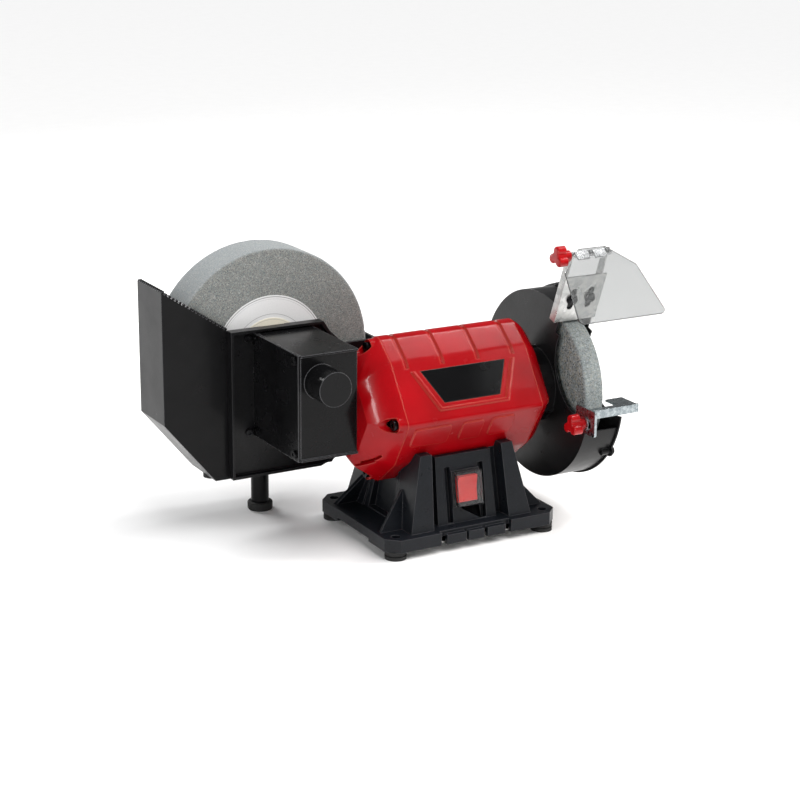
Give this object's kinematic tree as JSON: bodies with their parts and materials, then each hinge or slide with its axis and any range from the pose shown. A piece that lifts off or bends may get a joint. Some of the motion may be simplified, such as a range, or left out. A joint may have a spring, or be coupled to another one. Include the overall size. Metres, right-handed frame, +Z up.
{
  "type": "wet and dry bench grinder",
  "caption": "Bench grinder with a red motor housing, a slow wet wheel in a water tank at the left and a guarded dry wheel with eye shield and tool rest at the right.",
  "frame": {"origin": "on the bench surface, at the middle of the four bench bolt holes under the base", "axes": "+X along the motor shaft towards the dry wheel, +Y to the back, away from the switch, +Z up"},
  "size_m": [0.41, 0.2515, 0.2681],
  "materials": {
    "base_paint": "fine textured black powder coat",
    "motor_paint": "high-gloss deep red enamel",
    "guard_paint": "satin black paint",
    "black_plastic": "satin moulded ABS",
    "gear_case": "satin moulded nylon",
    "name_plate": "satin black blank plate",
    "zinc_steel": "zinc plated sheet with a faint spangle",
    "rest_steel": "zinc plated bar, dull and mottled",
    "bright_steel": "turned and plated steel",
    "black_screws": "black oxide",
    "shaft_steel": "ground steel",
    "core_steel": "stacked laminations",
    "rotor_cage": "die cast end rings",
    "winding": "varnished copper wire",
    "bronze": "oiled bronze",
    "wet_stone": "fine grey aluminium oxide grit",
    "dry_stone": "coarse grey aluminium oxide grit",
    "label_paper": "matt white card",
    "blotter_paper": "cream card",
    "rubber": "matt black rubber",
    "red_plastic": "glossy red moulding",
    "rocker_red": "translucent red",
    "clear_cover": "clear glossy vinyl",
    "clear_pane": "clear acrylic",
    "capacitor": "grey plastic can"
  },
  "bodies": {
    "grinder": {"base_casting": "base_paint", "base_plate": "zinc_steel", "rubber_feet": "rubber", "cable_gland": "black_plastic", "capacitor": "capacitor", "switch_housing": "black_plastic", "switch_cover": "clear_cover", "motor_housing": "motor_paint", "name_plate": "name_plate", "left_end_cap": "motor_paint", "right_end_cap": "motor_paint", "tie_screws": "black_screws", "stator_core": "core_steel", "stator_windings": "winding", "left_bearing": "shaft_steel", "right_bearing": "shaft_steel", "output_bushes": "bronze", "shaft_seal": "rubber", "gearbox_housing": "gear_case", "gearbox_cover": "gear_case", "gearbox_screws": "black_screws", "tank_bracket": "guard_paint", "tank_screws": "black_screws", "water_tank": "black_plastic", "support_post": "black_plastic", "support_foot": "rubber", "guard_housing": "guard_paint", "guard_cover": "guard_paint", "guard_screws": "black_screws", "bracket_screws": "black_screws", "rest_bolt": "bright_steel", "rest_washer": "bright_steel"},
    "rotor": {"rotor_core": "core_steel", "rotor_cage": "rotor_cage", "motor_shaft": "shaft_steel", "worm": "shaft_steel", "dry_wheel": "dry_stone", "dry_wheel_labels": "label_paper", "dry_wheel_flanges": "bright_steel", "dry_wheel_nut": "bright_steel"},
    "idler": {"worm_wheel": "bronze", "idler_shaft": "shaft_steel", "idler_pinion": "shaft_steel"},
    "wet": {"output_gear": "bronze", "output_shaft": "shaft_steel", "wet_wheel": "wet_stone", "wet_wheel_labels": "label_paper", "wet_wheel_blotters": "blotter_paper", "wet_wheel_flanges": "bright_steel", "wet_wheel_nut": "bright_steel"},
    "rocker": {"switch_rocker": "rocker_red"},
    "bracket": {"shield_bracket": "zinc_steel", "hinge_bolt": "bright_steel"},
    "shield": {"eye_shield": "clear_pane", "hinge_sleeves": "bright_steel"},
    "shield_clamp": {"shield_knob": "red_plastic"},
    "rest": {"tool_rest": "rest_steel"},
    "rest_clamp": {"rest_knob": "red_plastic"},
    "drain": {"drain_plug": "rubber"}
  },
  "joints": [
    {"name": "motor_spin", "type": "hinge", "parent": "grinder", "child": "rotor", "pos_m": [0, 0, 0.123], "axis": [1, 0, 0], "continuous": true},
    {"name": "idler_spin", "type": "hinge", "parent": "grinder", "child": "idler", "pos_m": [-0.11483, 0, 0.146], "axis": [0, 1, 0], "continuous": true},
    {"name": "wheel_spin", "type": "hinge", "parent": "grinder", "child": "wet", "pos_m": [-0.132, 0.102, 0.161], "axis": [0, 1, 0], "continuous": true},
    {"name": "rocker_tilt", "type": "hinge", "parent": "grinder", "child": "rocker", "pos_m": [0, -0.04863, 0.051], "axis": [1, 0, 0], "range_deg": [-16, 0]},
    {"name": "bracket_slide", "type": "slide", "parent": "grinder", "child": "bracket", "axis": [0, -0.3535, 0.9354], "range_m": [-0.002, 0.007]},
    {"name": "shield_tilt", "type": "hinge", "parent": "bracket", "child": "shield", "pos_m": [0.1218, -0.0585, 0.25798], "axis": [1, 0, 0], "range_deg": [-60, 8]},
    {"name": "shield_clamp_turn", "type": "hinge", "parent": "bracket", "child": "shield_clamp", "pos_m": [0.1218, -0.0585, 0.25798], "axis": [-1, 0, 0], "range_deg": [0, 360]},
    {"name": "rest_slide", "type": "slide", "parent": "grinder", "child": "rest", "axis": [0, 1, 0], "range_m": [-0.006, 0.006]},
    {"name": "rest_clamp_turn", "type": "hinge", "parent": "grinder", "child": "rest_clamp", "pos_m": [0.1, -0.088, 0.1075], "axis": [-1, 0, 0], "range_deg": [0, 360]},
    {"name": "drain_pull", "type": "slide", "parent": "grinder", "child": "drain", "axis": [0, 0, -1], "range_m": [0, 0.015]}
  ],
  "couplings": [
    {"joint": "idler_spin", "follows": "motor_spin", "ratio": 0.05},
    {"joint": "wheel_spin", "follows": "motor_spin", "ratio": -0.045}
  ]
}
